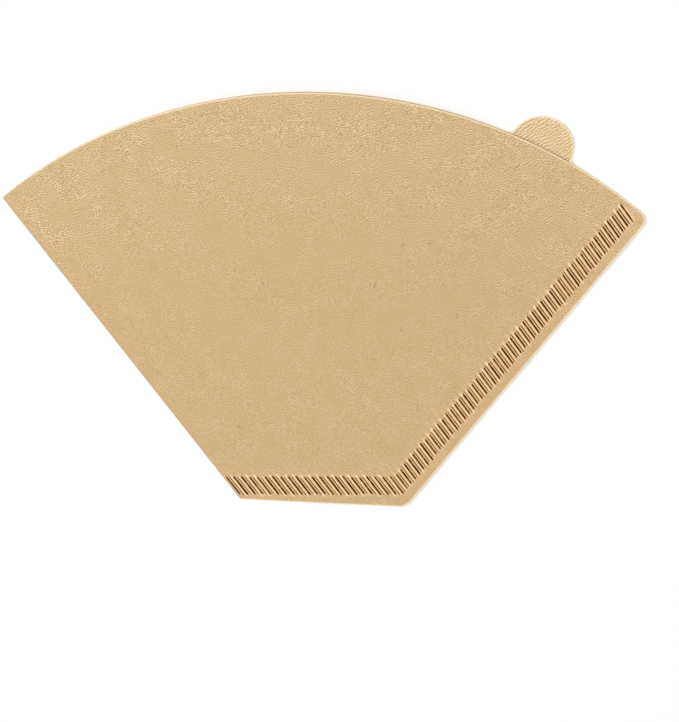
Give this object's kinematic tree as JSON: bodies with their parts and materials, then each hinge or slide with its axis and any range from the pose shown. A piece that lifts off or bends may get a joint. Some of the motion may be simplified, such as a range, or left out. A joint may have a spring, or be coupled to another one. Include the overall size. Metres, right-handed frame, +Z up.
{
  "type": "paper coffee filter",
  "caption": "Flat-folded cone coffee filter of brown paper, open along its curved rim, with crimped seams down one slanted side and across the bottom, and a round pull tab.",
  "frame": {"origin": "middle of the flat filter's outline, on the surface it lies on", "axes": "+X across the filter towards its crimped slanted edge, +Y from the bottom seam towards the open rim, +Z up out of the upper ply"},
  "size_m": [0.1839, 0.126, 0.0018],
  "materials": {
    "creped_filter_paper": "matt unbleached creped paper"
  },
  "bodies": {
    "root": {"coffee_filter": "creped_filter_paper"}
  },
  "joints": []
}
